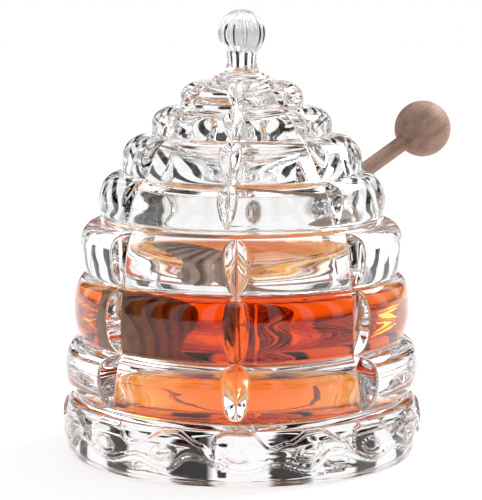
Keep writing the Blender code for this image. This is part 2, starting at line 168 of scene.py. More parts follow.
def turnedBeech(grainTurn):
    # beech turned on a lathe and sanded, no finish: dull, pink brown, with short dark ray flecks along the grain
    material, tree, shader = newMaterial("turnedBeech")
    place = addNode(tree, "ShaderNodeTexCoord")
    grain = addNode(tree, "ShaderNodeMapping", {"Vector": place.outputs["Object"], "Rotation": grainTurn})
    slow = addNode(tree, "ShaderNodeMapping", {"Vector": grain.outputs["Vector"], "Scale": (1.0, 1.0, 0.12)})
    rings = addNode(tree, "ShaderNodeTexNoise", {
        "Vector": slow.outputs["Vector"], "Scale": 1 / (beechValues["ringMm"] * 2.2 * mm), "Detail": 3.0,
        "Roughness": 0.6,
    })
    flat = addNode(tree, "ShaderNodeMapping", {
        "Vector": grain.outputs["Vector"],
        "Scale": (1.0, 1.0, beechValues["fleckWideMm"] / beechValues["fleckLongMm"]),
    })
    flecks = addNode(tree, "ShaderNodeTexNoise", {
        "Vector": flat.outputs["Vector"], "Scale": 1 / (beechValues["fleckWideMm"] * 2 * mm), "Detail": 2.0,
        "Roughness": 0.7,
    })
    tone = addNode(tree, "ShaderNodeValToRGB", {"Fac": rings.outputs["Fac"]})
    tone.color_ramp.elements[0].position = 0.38
    tone.color_ramp.elements[0].color = linear(beechValues["mid"])
    tone.color_ramp.elements[1].position = 0.62
    tone.color_ramp.elements[1].color = linear(beechValues["pale"])
    spots = addNode(tree, "ShaderNodeMapRange", {
        "Value": flecks.outputs["Fac"], "From Min": 0.56, "From Max": 0.68, "To Max": 0.7,
    })
    color = addNode(tree, "ShaderNodeMix", {
        "Factor": spots.outputs["Result"], 6: tone.outputs["Color"], 7: linear(beechValues["fleck"]),
    }, data_type="RGBA")
    bump = addNode(tree, "ShaderNodeBump", {
        "Height": flecks.outputs["Fac"], "Strength": 0.5, "Distance": 0.08 * mm,
    })
    tree.links.new(color.outputs[2], shader.inputs["Base Color"])
    tree.links.new(bump.outputs["Normal"], shader.inputs["Normal"])
    shader.inputs["Roughness"].default_value = 0.55
    shader.inputs["Specular IOR Level"].default_value = 0.35
    return material


# turned glass: rows of points from one pole to the other, skinned into one closed surface

def quarter(count, power):
    # sine and cosine for a quarter ellipse, fuller where the power is below 1
    turns = [pi / 2 * i / count for i in range(1, count + 1)]
    return [(sin(t) ** power, max(cos(t), 0.0) ** power) for t in turns]


def arcToGroove(low, crest, count, power=1.0):
    # from a groove below out and up to a crest
    return [
        (low[0] + (crest[0] - low[0]) * across, crest[1] + (low[1] - crest[1]) * up)
        for across, up in quarter(count, power)
    ]


def arcFromCrest(crest, high, count, power=1.0):
    # from a crest in and up to a groove above
    return [
        (high[0] + (crest[0] - high[0]) * up, crest[1] + (high[1] - crest[1]) * across)
        for across, up in quarter(count, power)
    ]


def hoopPoints(low, high, crest, count, power):
    return arcToGroove(low, crest, count, power) + arcFromCrest(crest, high, count, power)


def cutAngles(turnDeg, values):
    # columns crowd round each V-cut, where the leaf needs them
    sector = 2 * pi / values["cuts"]
    near = np.linspace(0.0, 1.0, values["nearColumns"] + 1) ** 1.15 * radians(values["nearDeg"])
    far = np.linspace(near[-1], sector / 2, values["farColumns"] + 1)[1:]
    half = np.concatenate([near, far])
    around = np.concatenate([-half[:0:-1][1:], half])
    return np.concatenate([around + radians(turnDeg) + sector * i for i in range(values["cuts"])])


def stitch(first, second, firstAngles, secondAngles):
    # triangles between two closed rings whose points stand at different angles
    faces = []
    i = j = 0
    countA, countB = len(first), len(second)
    angleA = lambda k: firstAngles[k % countA] + 2 * pi * (k // countA)
    angleB = lambda k: secondAngles[k % countB] + 2 * pi * (k // countB)
    while i < countA or j < countB:
        if j >= countB or (i < countA and angleA(i + 1) <= angleB(j + 1)):
            faces.append((first[i % countA], first[(i + 1) % countA], second[j % countB]))
            i += 1
        else:
            faces.append((first[i % countA], second[(j + 1) % countB], second[j % countB]))
            j += 1
    return faces


class Turning:
    # collects rows of points and the numbers that the cutting tree reads at each point
    def __init__(self):
        self.points, self.lean, self.reach, self.flute = [], [], [], []
        self.rings = []
        self.faces = []

    def pole(self, height):
        self.ring(np.zeros(1), np.zeros(1), np.full(1, height))

    def ring(self, angles, radius, height, lean=0.0, reach=0.0, flute=0.0):
        start = sum(len(r) for r in self.points)
        count = len(angles)
        radius = np.broadcast_to(radius, count)
        height = np.broadcast_to(height, count)
        self.points.append(np.stack([radius * np.cos(angles), radius * np.sin(angles), height], 1))
        self.lean.append(np.full(count, lean))
        self.reach.append(np.full(count, reach))
        self.flute.append(np.full(count, flute))
        ids = np.arange(start, start + count)
        if self.rings:
            self.join(self.rings[-1], (ids, angles))
        self.rings.append((ids, angles))

    def join(self, below, above):
        (low, lowAngles), (high, highAngles) = below, above
        if len(low) == 1:
            self.faces += [(low[0], high[(k + 1) % len(high)], high[k]) for k in range(len(high))]
        elif len(high) == 1:
            self.faces += [(low[k], low[(k + 1) % len(low)], high[0]) for k in range(len(low))]
        elif len(low) == len(high):
            count = len(low)
            self.faces += [(low[k], low[(k + 1) % count], high[(k + 1) % count], high[k]) for k in range(count)]
        else:
            self.faces += stitch(low, high, lowAngles, highAngles)

    def object(self, name):
        mesh = bpy.data.meshes.new(name)
        mesh.from_pydata(np.concatenate(self.points), [], self.faces)
        for key, rows in (("lean", self.lean), ("reach", self.reach), ("flute", self.flute)):
            attribute = mesh.attributes.new(key, "FLOAT", "POINT")
            attribute.data.foreach_set("value", np.concatenate(rows).astype(np.float32))
        obj = bpy.data.objects.new(name, mesh)
        scene.collection.objects.link(obj)
        return obj


def chord(low, high, tip):
    # the straight line that a V-cut's floor follows from groove to groove: its outward lean, and where it stands
    run = Vector((low[0] - high[0], 0.0, low[1] - high[1]))
    out = Vector((-run.z, 0.0, run.x)).normalized()
    middle = Vector(((low[0] + high[0]) / 2, 0.0, (low[1] + high[1]) / 2))
    return lambda z: (out.x, tip + middle.x * out.x - (z - middle.z) * out.z)


def cutTree():
    # cuts a pointed leaf where each of the even meridians crosses a hoop, and flutes the knob
    tree = bpy.data.node_groups.new("cutLeavesAndFlutes", "GeometryNodeTree")
    face = tree.interface
    face.new_socket("Geometry", in_out="INPUT", socket_type="NodeSocketGeometry")
    for name, kind in (("Cuts", "NodeSocketInt"), ("Turn", "NodeSocketFloat"), ("Half Angle", "NodeSocketFloat"),
                       ("Fillet", "NodeSocketFloat"), ("Valley Round", "NodeSocketFloat"),
                       ("Ribs", "NodeSocketInt"), ("Rib Depth", "NodeSocketFloat"),
                       ("Material", "NodeSocketMaterial")):
        face.new_socket(name, in_out="INPUT", socket_type=kind)
    face.new_socket("Geometry", in_out="OUTPUT", socket_type="NodeSocketGeometry")
    given = addNode(tree, "NodeGroupInput").outputs
    place = addNode(tree, "GeometryNodeInputPosition").outputs[0]
    parts = addNode(tree, "ShaderNodeSeparateXYZ", {0: place}).outputs
    lean = addNode(tree, "GeometryNodeInputNamedAttribute", {"Name": "lean"}).outputs[0]
    reach = addNode(tree, "GeometryNodeInputNamedAttribute", {"Name": "reach"}).outputs[0]
    flute = addNode(tree, "GeometryNodeInputNamedAttribute", {"Name": "flute"}).outputs[0]
    angle = addNode(tree, "ShaderNodeMath", {0: parts["Y"], 1: parts["X"]}, operation="ARCTAN2").outputs[0]
    flatPlace = addNode(tree, "ShaderNodeCombineXYZ", {0: parts["X"], 1: parts["Y"]}).outputs[0]
    radius = addNode(tree, "ShaderNodeVectorMath", {0: flatPlace}, operation="LENGTH").outputs["Value"]
    # the turn away from the nearest cut
    away = addNode(tree, "ShaderNodeMath", {0: angle, 1: given["Turn"]}, operation="SUBTRACT").outputs[0]
    half = addNode(tree, "ShaderNodeMath", {0: pi, 1: given["Cuts"]}, operation="DIVIDE").outputs[0]
    minusHalf = addNode(tree, "ShaderNodeMath", {0: half, 1: -1.0}, operation="MULTIPLY").outputs[0]
    turned = addNode(tree, "ShaderNodeMath", {0: away, 1: half, 2: minusHalf}, operation="WRAP").outputs[0]
    across = addNode(tree, "ShaderNodeMath", {0: turned}, operation="SINE").outputs[0]
    along = addNode(tree, "ShaderNodeMath", {0: turned}, operation="COSINE").outputs[0]
    squared = addNode(tree, "ShaderNodeMath", {0: across, 1: across}, operation="MULTIPLY").outputs[0]
    softened = addNode(tree, "ShaderNodeMath", {0: squared, 1: given["Valley Round"]}, operation="ADD").outputs[0]
    side = addNode(tree, "ShaderNodeMath", {0: softened, 1: 0.5}, operation="POWER").outputs[0]
    slope = addNode(tree, "ShaderNodeMath", {0: given["Half Angle"]}, operation="TANGENT").outputs[0]
    rise = addNode(tree, "ShaderNodeMath", {0: side, 1: slope}, operation="DIVIDE").outputs[0]
    facing = addNode(tree, "ShaderNodeMath", {0: along, 1: lean}, operation="MULTIPLY").outputs[0]
    below = addNode(tree, "ShaderNodeMath", {0: facing, 1: rise}, operation="SUBTRACT").outputs[0]
    below = addNode(tree, "ShaderNodeMath", {0: below, 1: 0.001}, operation="MAXIMUM").outputs[0]
    bound = addNode(tree, "ShaderNodeMath", {0: reach, 1: below}, operation="DIVIDE").outputs[0]
    isHoop = addNode(tree, "ShaderNodeMath", {0: lean, 1: 0.0001}, operation="GREATER_THAN").outputs[0]
    cut = addNode(tree, "ShaderNodeMath", {
        0: radius, 1: bound, 2: given["Fillet"],
    }, operation="SMOOTH_MIN").outputs[0]
    chosen = addNode(tree, "ShaderNodeMix", {0: isHoop, 2: radius, 3: cut}).outputs[0]
    # round ribs with sharp valleys between them
    turns = addNode(tree, "ShaderNodeMath", {0: away, 1: given["Ribs"]}, operation="MULTIPLY").outputs[0]
    halfTurns = addNode(tree, "ShaderNodeMath", {0: turns, 1: 0.5}, operation="MULTIPLY").outputs[0]
    wave = addNode(tree, "ShaderNodeMath", {0: halfTurns}, operation="COSINE").outputs[0]
    crown = addNode(tree, "ShaderNodeMath", {0: wave}, operation="ABSOLUTE").outputs[0]
    dip = addNode(tree, "ShaderNodeMath", {0: 1.0, 1: crown}, operation="SUBTRACT").outputs[0]
    depth = addNode(tree, "ShaderNodeMath", {0: dip, 1: given["Rib Depth"]}, operation="MULTIPLY").outputs[0]
    fluted = addNode(tree, "ShaderNodeMath", {0: depth, 1: flute}, operation="MULTIPLY").outputs[0]
    final = addNode(tree, "ShaderNodeMath", {0: chosen, 1: fluted}, operation="SUBTRACT").outputs[0]
    safe = addNode(tree, "ShaderNodeMath", {0: radius, 1: 1e-6}, operation="MAXIMUM").outputs[0]
    share = addNode(tree, "ShaderNodeMath", {0: final, 1: safe}, operation="DIVIDE").outputs[0]
    moved = addNode(tree, "ShaderNodeVectorMath", {0: flatPlace, "Scale": share}, operation="SCALE").outputs[0]
    lifted = addNode(tree, "ShaderNodeCombineXYZ", {2: parts["Z"]}).outputs[0]
    spot = addNode(tree, "ShaderNodeVectorMath", {0: moved, 1: lifted}, operation="ADD").outputs[0]
    shaped = addNode(tree, "GeometryNodeSetPosition", {0: given["Geometry"], "Position": spot}).outputs[0]
    smooth = addNode(tree, "GeometryNodeSetShadeSmooth", {0: shaped, "Shade Smooth": True}).outputs[0]
    real = addNode(tree, "GeometryNodeRealizeInstances", {0: smooth}).outputs[0]
    dressed = addNode(tree, "GeometryNodeSetMaterial", {0: real, "Material": given["Material"]}).outputs[0]
    addNode(tree, "NodeGroupOutput", {0: dressed})
    return tree


def applyTree(obj, tree, values):
    modifier = obj.modifiers.new("shape", "NODES")
    modifier.node_group = tree
    for socket in tree.interface.items_tree:
        if socket.in_out == "INPUT" and socket.name in values:
            modifier[socket.identifier] = values[socket.name]
    return plainMesh(obj)


def plainMesh(obj):
    # the evaluated shape as a plain mesh, with no modifier left
    graph = bpy.context.evaluated_depsgraph_get()
    mesh = bpy.data.meshes.new_from_object(obj.evaluated_get(graph))
    mesh.name = obj.name
    old = obj.data
    obj.modifiers.clear()
    obj.data = mesh
    bpy.data.meshes.remove(old)
    return obj


def boolean(obj, cutter, operation="DIFFERENCE"):
    modifier = obj.modifiers.new("cut", "BOOLEAN")
    modifier.operation = operation
    modifier.solver = "MANIFOLD"
    modifier.object = cutter
    plainMesh(obj)
    bpy.data.objects.remove(cutter)
    return obj


crystal = leadCrystal("pressedLeadCrystal", "#FFFFFF")
wetCrystal = leadCrystal("honeyWetCrystal", wetMirrors)
leafTree = cutTree()

# the frame's own sizes
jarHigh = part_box("jar")[1]
lidLow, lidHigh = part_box("lid")
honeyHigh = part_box("honey")[1]
ballLow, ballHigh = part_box("dipper_knob")
rimHeight = jarHigh.z
reliefRadius = jarHigh.x


# jar

jarValues = {
    "cuts": 8, "turnDeg": -2.0, "halfDeg": 36.0, "tip": 0.15 * mm,
    "nearColumns": 18, "farColumns": 9, "nearDeg": 7.6,
    "hoopRows": 17, "bandColumns": 768,
    "rimRadius": 50.8 * mm, "rimWall": 4.0 * mm, "rimBand": 2.4 * mm, "rimRound": 0.6 * mm,
    "bandHeight": 22.0 * mm, "bandTop": 58.9 * mm, "bandCrest": 63.9 * mm, "crestShare": 0.6,
    "foot": 62.0 * mm, "footStep": 0.7 * mm, "footStepHeight": 1.6 * mm,
    "leanShares": [0.0, 0.4, 0.55, 1.0], "dropShares": [0.0, 0.307, 0.689, 1.0],
    "bulges": [5.6 * mm, 5.7 * mm, 6.6 * mm], "hoopCrestShare": 0.51, "power": 0.8,
    "draft": 0.9 * mm, "floor": 14.0 * mm, "bowlShare": 0.9,
    "fillet": 0.45 * mm, "valleyRound": 0.000012,
}
waveValues = {
    "motifs": 16, "turnDeg": -1.8, "ribbonWide": 2.5 * mm, "ribbonRise": 0.9 * mm,
    # one repeat holds two motifs: where the ribbon's low and high points lie, as shares of the repeat
    "placeShares": [0.0, 0.18, 0.55, 0.79, 1.0], "heightShares": [0.3, 0.54, 0.3, 0.42, 0.3],
    "almondLong": 10.6 * mm, "almondWide": 5.0 * mm, "almondRise": 1.1 * mm, "almondShare": 0.52,
    "almondTiltDeg": 14.0,
    "hoodPlaceShares": [0.0, 0.08, 0.27, 0.345, 0.36, 0.44, 0.6, 0.73, 0.86, 1.0],
    "hoodHeightShares": [0.84, 0.85, 0.66, 0.5, 0.8, 0.86, 0.85, 0.62, 0.7, 0.84],
    "hoodRise": 0.8 * mm, "hoodEdge": 0.5 * mm,
}


def eased(places, heights, share):
    # a smooth curve through low and high points, level at each
    index = np.clip(np.searchsorted(places, share, side="right") - 1, 0, len(places) - 2)
    places, heights = np.array(places), np.array(heights)
    t = (share - places[index]) / (places[index + 1] - places[index])
    t = t * t * (3 - 2 * t)
    return heights[index] + (heights[index + 1] - heights[index]) * t


def step(value, edge):
    t = np.clip(value / edge * 0.5 + 0.5, 0.0, 1.0)
    return t * t * (3 - 2 * t)


def bandRelief(angles, height):
    # how far the ribbon, the almonds and the hoods over them stand out from the plain band
    v, j = waveValues, jarValues
    turn = (angles - radians(frontDeg + v["turnDeg"])) / (2 * pi) * v["motifs"]
    pair = np.mod((turn - 1) / 2, 1.0)
    middle = j["bandHeight"] * eased(v["placeShares"], v["heightShares"], pair)
    later = j["bandHeight"] * eased(v["placeShares"], v["heightShares"], np.mod(pair + 0.01, 1.0))
    pitch = 2 * pi * j["bandCrest"] / v["motifs"]
    slope = (later - middle) / (0.02 * pitch)
    away = np.abs(height - middle) / np.sqrt(1 + slope * slope) / (v["ribbonWide"] / 2)
    ribbon = v["ribbonRise"] * np.sqrt(np.clip(1 - away**4, 0, 1))
    nearest = np.round(turn)
    tilt = radians(v["almondTiltDeg"]) * np.where(np.mod(nearest, 2) < 0.5, -1.0, 1.0)
    x = (turn - nearest) * pitch
    z = height - j["bandHeight"] * v["almondShare"]
    u = (x * np.cos(tilt) + z * np.sin(tilt)) / (v["almondLong"] / 2)
    w = (z * np.cos(tilt) - x * np.sin(tilt)) / (v["almondWide"] / 2)
    edge = 1 - u * u
    dome = np.sqrt(np.clip(1 - (w / np.maximum(edge, 0.01)) ** 2, 0, 1))
    almond = v["almondRise"] * dome * np.clip(edge, 0, 1) ** 0.5
    top = j["bandHeight"] * eased(v["hoodPlaceShares"], v["hoodHeightShares"], pair)
    inside = step(top - height, v["hoodEdge"]) * step(height - middle, v["ribbonWide"] / 2)
    hood = v["hoodRise"] * inside
    return np.maximum(np.maximum(ribbon, almond + hood * 0.6), hood)


def makeJar():
    v = jarValues
    turning = Turning()
    hoopAngles = cutAngles(frontDeg + v["turnDeg"], v)
    bandAngles = np.linspace(0, 2 * pi, v["bandColumns"], endpoint=False) + hoopAngles[0]
    fewAngles = np.linspace(0, 2 * pi, 192, endpoint=False) + hoopAngles[0]
    mouth = v["rimRadius"] - v["rimWall"]
    rimTop, bandTop = rimHeight, v["bandHeight"]
    hoopTop = rimTop - v["rimBand"]
    grooves = [
        (v["rimRadius"] + (v["bandTop"] - v["rimRadius"]) * lean, hoopTop + (bandTop - hoopTop) * drop)
        for lean, drop in zip(v["leanShares"], v["dropShares"])
    ]
    # underside and foot
    turning.pole(0.0)
    for share in (0.3, 0.6, 0.85):
        turning.ring(fewAngles, v["foot"] * share, 0.0)
    turning.ring(bandAngles, v["foot"] - 0.35 * mm, 0.0)
    turning.ring(bandAngles, v["foot"] - 0.1 * mm, 0.1 * mm)
    turning.ring(bandAngles, v["foot"], 0.35 * mm)
    turning.ring(bandAngles, v["foot"], v["footStepHeight"] - 0.2 * mm)
    # base band
    crest = (v["bandCrest"], bandTop * v["crestShare"])
    stepPoint = (v["foot"] + v["footStep"], v["footStepHeight"])
    belly = arcToGroove(stepPoint, crest, 22)
    shoulder = arcFromCrest(crest, (v["bandTop"], bandTop), 26)
    for radius, height in [stepPoint] + belly + shoulder[:-1]:
        heights = np.full(len(bandAngles), height)
        relief = bandRelief(bandAngles, heights)
        turning.ring(bandAngles, np.minimum(radius + relief, reliefRadius), height)
    # hoops
    for top, low, bulge in list(zip(grooves[:-1], grooves[1:], v["bulges"]))[::-1]:
        line = chord(low, top, v["tip"])
        crest = ((top[0] + low[0]) / 2 + bulge, low[1] + (top[1] - low[1]) * v["hoopCrestShare"])
        turning.ring(hoopAngles, low[0] + 0.02 * mm, low[1], *line(low[1]))
        for radius, height in hoopPoints(low, top, crest, v["hoopRows"], v["power"])[:-1]:
            turning.ring(hoopAngles, radius, height, *line(height))
    # rim
    edge = v["rimRound"]
    turning.ring(hoopAngles, v["rimRadius"], hoopTop)
    turning.ring(hoopAngles, v["rimRadius"], rimTop - edge)
    for t in (30, 60, 90):
        turning.ring(
            hoopAngles, v["rimRadius"] - edge + edge * cos(radians(t)), rimTop - edge + edge * sin(radians(t))
        )
    for t in (90, 60, 30, 0):
        turning.ring(fewAngles, mouth + edge - edge * cos(radians(t)), rimTop - edge + edge * sin(radians(t)))
    # cavity
    bowlTopRadius = mouth - v["draft"]
    bowl = bowlTopRadius * v["bowlShare"]
    bowlTop = v["floor"] + bowl
    for share in np.linspace(0, 1, 9)[1:-1]:
        height = rimTop + (bowlTop - rimTop) * share
        turning.ring(fewAngles, bowlTopRadius + v["draft"] * (height - bowlTop) / (rimTop - bowlTop), height)
    for i in range(25):
        turn = pi / 2 * i / 24
        turning.ring(fewAngles, bowlTopRadius - bowl + bowl * cos(turn), bowlTop - bowl * sin(turn))
    turning.ring(fewAngles, (bowlTopRadius - bowl) * 0.5, v["floor"])
    turning.pole(v["floor"])
    jar = turning.object("jar_crystal")
    applyTree(jar, leafTree, {
        "Cuts": v["cuts"], "Turn": radians(frontDeg + v["turnDeg"]), "Half Angle": radians(v["halfDeg"]),
        "Fillet": v["fillet"], "Valley Round": v["valleyRound"], "Ribs": 1, "Rib Depth": 0.0, "Material": crystal,
    })
    # the wall and floor of the cavity up to the honey's edge
    jar.data.materials.append(wetCrystal)
    for face in jar.data.polygons:
        spot = face.center
        wetHeight = v["floor"] - 0.5 * mm < spot.z < honeyHigh.z + 0.8 * mm
        if wetHeight and hypot(spot.x, spot.y) < mouth:
            face.material_index = len(jar.data.materials) - 1
    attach(jar, "jar")
    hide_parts("jar")
    return jar


makeJar()
print("jar made")


# lid

lidValues = {
    "cuts": 8, "turnDeg": -5.6, "halfDeg": 36.0, "tip": 0.15 * mm,
    "nearColumns": 18, "farColumns": 9, "nearDeg": 9.0, "hoopRows": 15, "power": 0.8,
    "ringDepth": 2.8 * mm, "ringClearance": 0.5 * mm, "ringWall": 2.2 * mm,
    "domeHeight": 47.3 * mm, "radiusShares": [0.225, 0.422, 0.625, 0.836, 1.0],
    "heightShares": [1.0, 0.81, 0.594, 0.307, 0.0], "overhang": 0.5 * mm, "crestShare": 0.22,
    "crown": 8.0 * mm, "domePower": 1.6, "domeRoot": 0.78,
    "collarShares": [0.86, 0.7, 0.54], "collarStep": 0.9 * mm,
    "neck": 5.7 * mm, "knob": 8.5 * mm, "ribs": 16, "ribDepth": 0.9 * mm,
    "fillet": 0.4 * mm, "valleyRound": 0.00002,
    "notchDeg": 132.0, "notchHalf": 4.45 * mm, "notchRod": 3.05 * mm, "notchLong": 50 * mm,
}


def makeLid():
    v = lidValues
    turning = Turning()
    angles = cutAngles(frontDeg + v["turnDeg"], v)
    few = np.linspace(0, 2 * pi, 192, endpoint=False) + angles[0]
    rim = jarValues["rimRadius"]
    seat = lidLow.z + v["ringDepth"]
    ringOut = rim - jarValues["rimWall"] - v["ringClearance"]
    ringIn = ringOut - v["ringWall"]
    inner = v["domeHeight"] - v["crown"]
    # inside of the dome, from its crown down to the locating ring
    turning.pole(seat + inner)
    rows = 40
    for i in range(rows - 1, -1, -1):
        up = sin(pi / 2 * i / rows)
        turning.ring(few, ringIn * (1 - up ** v["domePower"]) ** v["domeRoot"], seat + inner * up)
    turning.ring(few, ringIn, lidLow.z + 0.3 * mm)
    turning.ring(few, ringIn + 0.3 * mm, lidLow.z)
    turning.ring(few, ringOut - 0.3 * mm, lidLow.z)
    turning.ring(few, ringOut, lidLow.z + 0.3 * mm)
    turning.ring(few, ringOut, seat)
    # hoops, from the rim up
    grooves = [
        (rim * across, seat + v["domeHeight"] * up) for across, up in zip(v["radiusShares"], v["heightShares"])
    ]
    for number, (top, low) in enumerate(list(zip(grooves[:-1], grooves[1:]))[::-1]):
        line = chord(low, top, v["tip"])
        crest = (low[0] + v["overhang"], low[1] + (top[1] - low[1]) * v["crestShare"])
        if number == 0:
            turning.ring(angles, low[0] - 0.8 * mm, low[1])
            turning.ring(angles, low[0] - 0.2 * mm, low[1] + 0.15 * mm, *line(low[1]))
        else:
            turning.ring(angles, low[0] + 0.02 * mm, low[1], *line(low[1]))
        for radius, height in hoopPoints(low, top, crest, v["hoopRows"], v["power"])[:-1]:
            turning.ring(angles, radius, height, *line(height))
    # collar steps, with rounded edges
    top = grooves[0]
    steps = [(top[0] * share, top[1] + v["collarStep"] * n) for n, share in enumerate(v["collarShares"], 1)]
    low = top
    turning.ring(angles, top[0], top[1])
    for radius, height in steps:
        turning.ring(angles, low[0] - 0.2 * mm, height - 0.1 * mm)
        turning.ring(angles, low[0] - 0.5 * mm, height)
        turning.ring(angles, radius + 0.15 * mm, height)
        low = (radius, height)
    # neck, drawn in to its waist, and the knob
    knobCentre = lidHigh.z - v["knob"]
    knobBottom = knobCentre - sqrt(v["knob"] ** 2 - v["neck"] ** 2)
    neckLow = low[1]
    for i in range(1, 13):
        share = i / 12
        swell = (1 - share) ** 3 * (low[0] - v["neck"]) + 0.25 * mm * cos(2 * pi * share)
        turning.ring(angles, v["neck"] + swell - 0.25 * mm, neckLow + (knobBottom - neckLow) * share)
    start = asin((knobBottom - knobCentre) / v["knob"])
    rows = 34
    for i in range(1, rows):
        turn = start + (pi / 2 - start) * i / rows
        turning.ring(
            angles, v["knob"] * cos(turn), knobCentre + v["knob"] * sin(turn), flute=max(cos(turn), 0.0) ** 0.7
        )
    turning.pole(lidHigh.z)
    lid = turning.object("lid_crystal")
    applyTree(lid, leafTree, {
        "Cuts": v["cuts"], "Turn": radians(frontDeg + v["turnDeg"]), "Half Angle": radians(v["halfDeg"]),
        "Fillet": v["fillet"], "Valley Round": v["valleyRound"], "Ribs": v["ribs"], "Rib Depth": v["ribDepth"],
        "Material": crystal,
    })
    cutNotch(lid, seat)
    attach(lid, "lid")
    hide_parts("lid")
    return lid


# dipper axis, from the joint and the ball's place

slide = [joint for joint in record["behaviour"]["joints"] if joint["child"] == "dipper"][0]
dipperAxis = Vector(slide["axis"]).normalized()
ballCentre = (ballLow + ballHigh) / 2
dipperTurn = dipperAxis.to_track_quat("Z", "Y").to_matrix().to_4x4()


def alongDipper(node):
    # how far along the axis from the ball's centre a node starts and ends
    reach = [(vert.co - ballCentre).dot(dipperAxis) for vert in frame["nodes"][node].data.vertices]
    return min(reach), max(reach)


def cutNotch(lid, seat):
    # an arched slot that lets the lid down over the handle
    v = lidValues
    half = v["notchHalf"]
    heading = Vector((dipperAxis.x, dipperAxis.y, 0.0)).normalized()
    mouth = jarValues["rimRadius"] - jarValues["rimWall"]
    turn = radians(frontDeg + v["notchDeg"])
    crossing = Vector((mouth * cos(turn), mouth * sin(turn), 0.0))
    side = Vector((-heading.y, heading.x, 0.0))
    slope = dipperAxis.z / hypot(dipperAxis.x, dipperAxis.y)
    drop = v["notchRod"] * sqrt(1 + slope * slope)
    exitRun = (jarValues["rimRadius"] + v["overhang"] - mouth) / cos(turn - atan2(heading.y, heading.x))
    archHeight = rimHeight + 0.3 * mm + drop + exitRun * slope + drop + 1.0 * mm - half
    outline = [(-half, lidLow.z - 2 * mm), (half, lidLow.z - 2 * mm)]
    outline += [(half * cos(pi * i / 24), archHeight + half * sin(pi * i / 24)) for i in range(25)]
    reach = v["notchLong"] / 2
    points = [
        crossing + heading * end + side * x + Vector((0, 0, z)) for end in (-reach, reach) for x, z in outline
    ]
    count = len(outline)
    faces = [tuple(range(count))[::-1], tuple(range(count, 2 * count))]
    faces += [(k, (k + 1) % count, count + (k + 1) % count, count + k) for k in range(count)]
    mesh = bpy.data.meshes.new("notch")
    mesh.from_pydata(points, [], faces)
    cutter = bpy.data.objects.new("notch", mesh)
    scene.collection.objects.link(cutter)
    boolean(lid, cutter)
    lid.data.set_sharp_from_angle(angle=radians(50))


makeLid()
print("lid made")


# honey

def makeHoney():
    v = jarValues
    turning = Turning()
    few = np.linspace(0, 2 * pi, 160, endpoint=False)
    mouth = v["rimRadius"] - v["rimWall"]
    bowlTopRadius = mouth - v["draft"]
    bowl = bowlTopRadius * v["bowlShare"]
    bowlTop = v["floor"] + bowl
    wet = honeyValues["skin"]  # honey wets the glass, so its skin lies a hair inside the wall
    level = honeyHigh.z
    turning.pole(v["floor"] - wet)
    turning.ring(few, (bowlTopRadius - bowl) * 0.5, v["floor"] - wet)
    for i in range(24, -1, -1):
        turn = pi / 2 * i / 24
        turning.ring(few, bowlTopRadius - bowl + (bowl + wet) * cos(turn), bowlTop - (bowl + wet) * sin(turn))
    meniscus = honeyValues["meniscus"]
    for share in np.linspace(0, 1, 5)[1:]:
        height = bowlTop + (level + meniscus - bowlTop) * share
        turning.ring(few, bowlTopRadius + wet + v["draft"] * (height - bowlTop) / (rimHeight - bowlTop), height)
    for inward in (0.3, 0.8, 1.5, 2.5, 4.0, 8.0, 20.0, 35.0):
        turning.ring(few, bowlTopRadius - inward * mm, level + meniscus * 2.718 ** (-inward / 1.2))
    turning.pole(level)
    honey = turning.object("honey_clear")
    honey.data.materials.append(clearHoney())
    honey.data.shade_smooth()
    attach(honey, "jar")
    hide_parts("honey")
    return honey


makeHoney()
print("honey made")


# dipper

dipperValues = {
    "handle": 3.05 * mm, "handleEdge": 0.2 * mm, "discs": 8, "grooveShare": 0.42, "groove": 4.6 * mm,
    "edge": 0.5 * mm, "headRadius": 11.6 * mm, "endShare": 0.62, "fullness": 0.75,
}
beech = turnedBeech(dipperTurn.to_3x3().inverted().to_euler())


def turnedWood(name, node, outline, steps):
    # outline of (radius, distance along the axis from the ball's centre), from one end to the other
    turning = Turning()
    angles = np.linspace(0, 2 * pi, steps, endpoint=False)
    for radius, along in outline:
        if radius == 0:
            turning.pole(along)
        else:
            turning.ring(angles, radius, along)
    obj = turning.object(name)
    obj.data.transform(Matrix.Translation(ballCentre) @ dipperTurn)
    obj.data.materials.append(beech)
    obj.data.shade_smooth()
    obj.data.set_sharp_from_angle(angle=radians(50))
    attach(obj, "dipper")
    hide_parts(node)
    return obj


